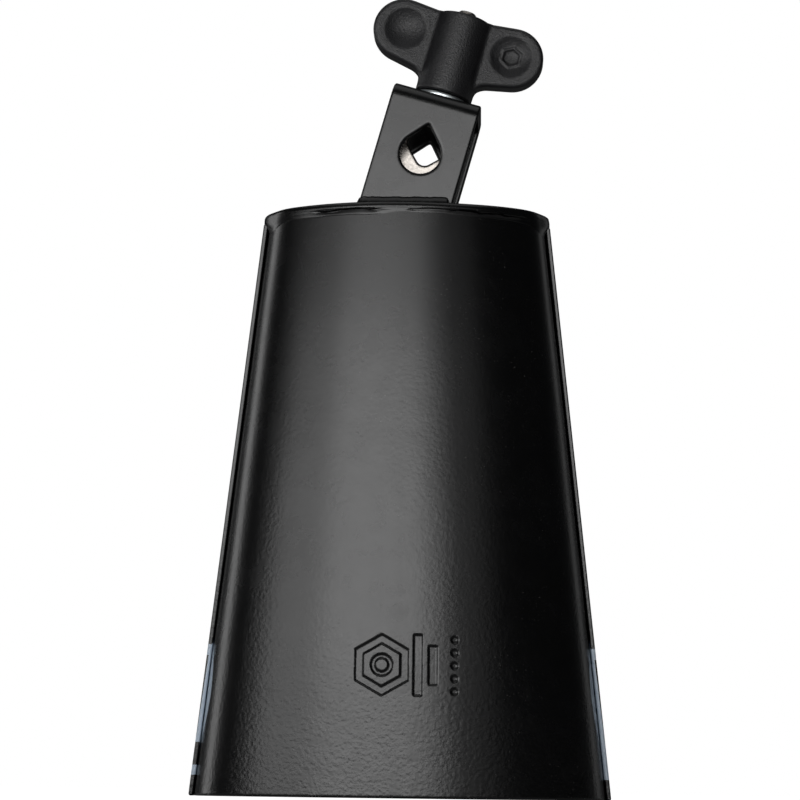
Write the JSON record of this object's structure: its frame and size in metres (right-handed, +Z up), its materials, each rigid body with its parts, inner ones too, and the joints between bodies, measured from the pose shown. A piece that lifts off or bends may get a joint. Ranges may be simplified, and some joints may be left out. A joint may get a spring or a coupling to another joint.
{
  "type": "cowbell",
  "caption": "Black steel cowbell with a leaning rod clamp on top: a strap bracket, a forged eyebolt, a washer and a moulded wing nut.",
  "frame": {"origin": "centre of the open mouth, in the plane of the mouth's rim, under the middle of the bell", "axes": "+Z up from the mouth to the closed top, +X to the right seen from the front, front panel towards -Y; the bracket leans towards +X"},
  "size_m": [0.1448, 0.09, 0.2826],
  "materials": {
    "black_coat": "satin black powder coat on steel sheet, with a fine orange-peel texture",
    "bright_nickel": "bright nickel plating on forged steel",
    "zinc_plate": "pale zinc plating on turned and pressed steel",
    "black_plastic": "moulded black plastic with a fine spark-eroded texture"
  },
  "bodies": {
    "bell": {"front_shell": "black_coat", "rear_shell": "black_coat", "cap_weld": "black_coat", "top_cap": "black_coat", "mount_bracket": "black_coat", "bracket_weld_front": "black_coat", "bracket_weld_rear": "black_coat", "washer": "zinc_plate"},
    "nut": {"wing_nut": "black_plastic", "threaded_insert": "zinc_plate"},
    "bolt": {"eyebolt": "bright_nickel"}
  },
  "joints": [
    {"name": "wing_nut_turn", "type": "hinge", "parent": "bell", "child": "nut", "pos_m": [-0.00013, -0.00002, 0.20279], "axis": [0.2671, -0.0079, 0.9636], "range_deg": [-1080, 1440]},
    {"name": "eyebolt_slide", "type": "slide", "parent": "bell", "child": "bolt", "axis": [0.2671, -0.0079, 0.9636], "range_m": [-0.00502, 0.00377]}
  ],
  "couplings": [
    {"joint": "eyebolt_slide", "follows": "wing_nut_turn", "m_per_rad": -0.00019894}
  ]
}
